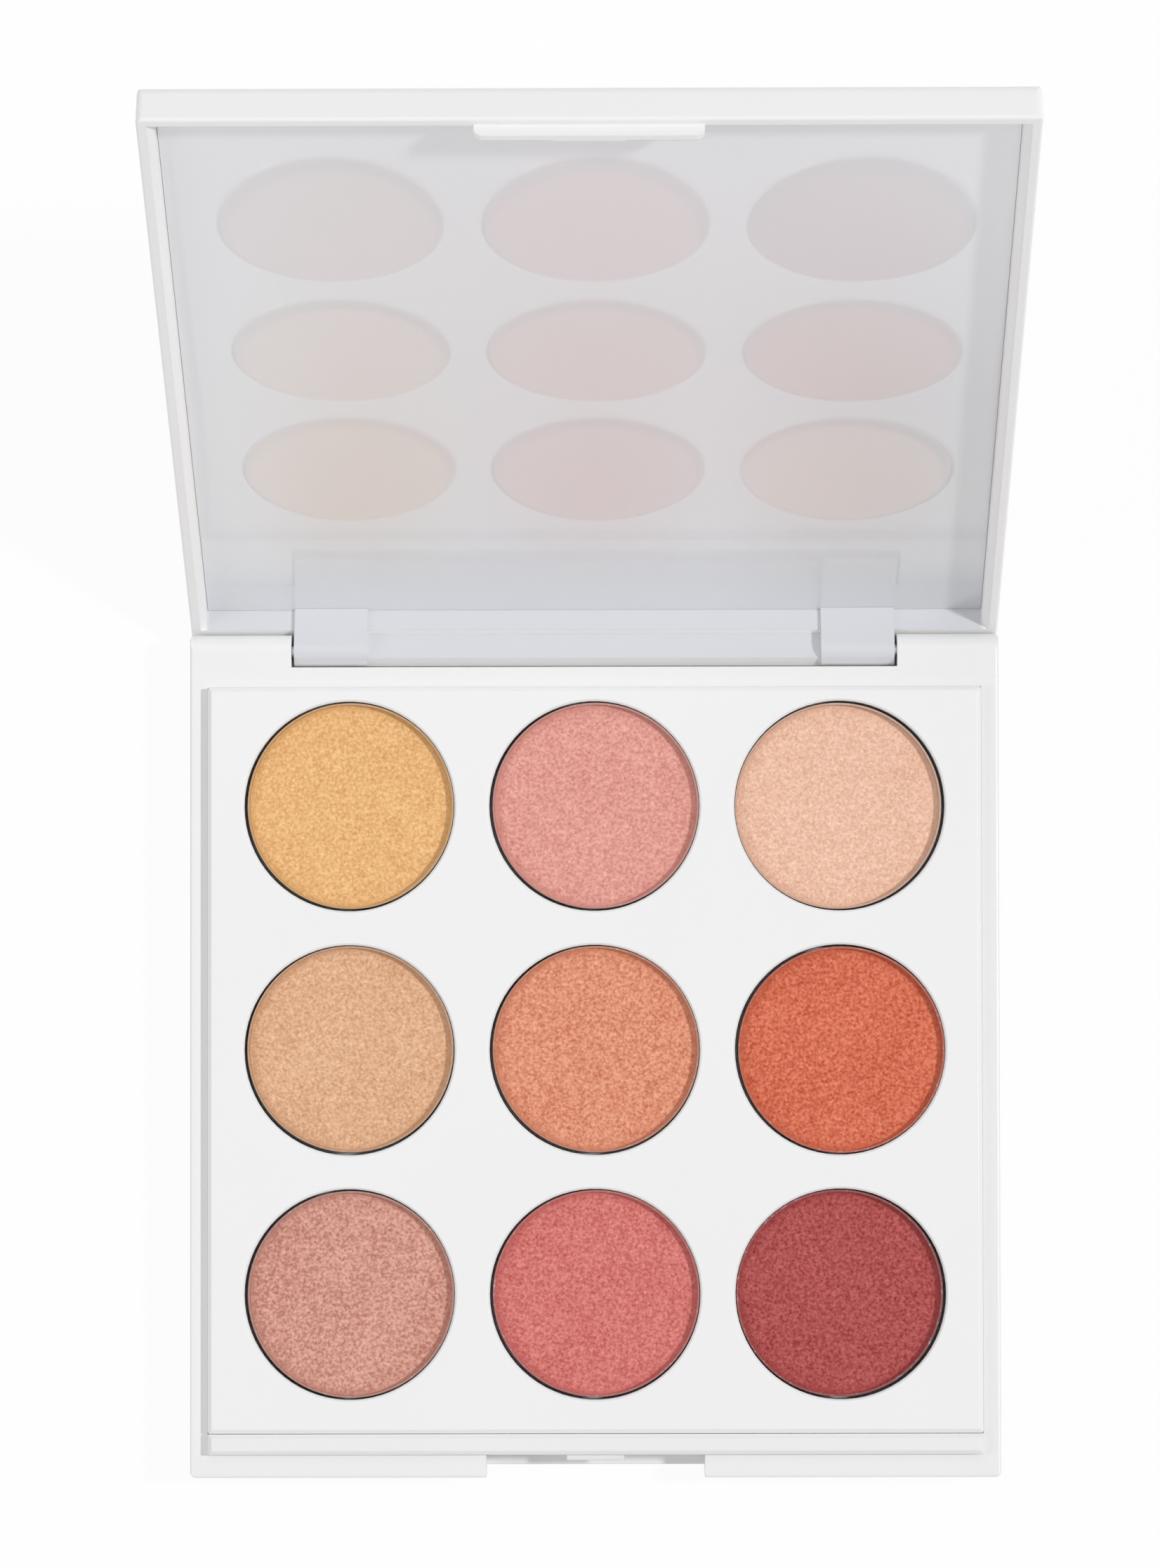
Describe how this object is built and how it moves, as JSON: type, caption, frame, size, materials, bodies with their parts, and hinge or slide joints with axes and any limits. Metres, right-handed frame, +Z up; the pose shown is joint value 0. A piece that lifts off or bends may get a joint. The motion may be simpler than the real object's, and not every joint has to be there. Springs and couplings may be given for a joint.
{
  "type": "eyeshadow palette",
  "caption": "Square white compact that holds round pans of pressed eyeshadow in a raised tray, under a hinged lid with a mirror and a front latch flap.",
  "frame": {"origin": "middle of the base's underside, where the palette stands on a table", "axes": "+Z up out of the pans, +Y towards the hinge, -Y towards the thumb notch, X along the hinge axis"},
  "size_m": [0.1042, 0.1642, 0.098],
  "materials": {
    "case_white": "white injection-moulded plastic with a soft gloss",
    "tray_white": "white moulded plastic, satin gloss",
    "pan_metal": "thin drawn aluminium, satin",
    "mirror_glass": "silvered glass with a pale haze",
    "adhesive": "soft clear-white adhesive",
    "pin_steel": "bright drawn steel wire",
    "powder_gold": "dry pressed powder, golden sand with fine shimmer",
    "powder_pink": "dry pressed powder, warm pink with fine shimmer",
    "powder_champagne": "dry pressed powder, pale champagne with fine shimmer",
    "powder_tan": "dry pressed powder, soft tan",
    "powder_peach": "dry pressed powder, peach orange with fine shimmer",
    "powder_orange": "dry pressed powder, burnt orange",
    "powder_mauve": "dry pressed powder, rose mauve",
    "powder_rose": "dry pressed powder, coral rose with fine shimmer",
    "powder_burgundy": "dry pressed powder, burgundy"
  },
  "bodies": {
    "base": {"base_shell": "case_white", "pan_tray": "tray_white", "pan_glue_rings": "adhesive", "pan_back_left": "pan_metal", "pan_back_middle": "pan_metal", "pan_back_right": "pan_metal", "pan_centre_left": "pan_metal", "pan_centre_middle": "pan_metal", "pan_centre_right": "pan_metal", "pan_front_left": "pan_metal", "pan_front_middle": "pan_metal", "pan_front_right": "pan_metal", "shadow_back_left": "powder_gold", "shadow_back_middle": "powder_pink", "shadow_back_right": "powder_champagne", "shadow_centre_left": "powder_tan", "shadow_centre_middle": "powder_peach", "shadow_centre_right": "powder_orange", "shadow_front_left": "powder_mauve", "shadow_front_middle": "powder_rose", "shadow_front_right": "powder_burgundy", "hinge_pin_left": "pin_steel", "hinge_pin_right": "pin_steel"},
    "lid": {"lid_shell": "case_white", "mirror": "mirror_glass", "mirror_film": "adhesive"}
  },
  "joints": [
    {"name": "lid_hinge", "type": "hinge", "parent": "base", "child": "lid", "pos_m": [0, 0.0522, 0.0059], "axis": [-1, 0, 0], "range_deg": [-119, 0]}
  ]
}
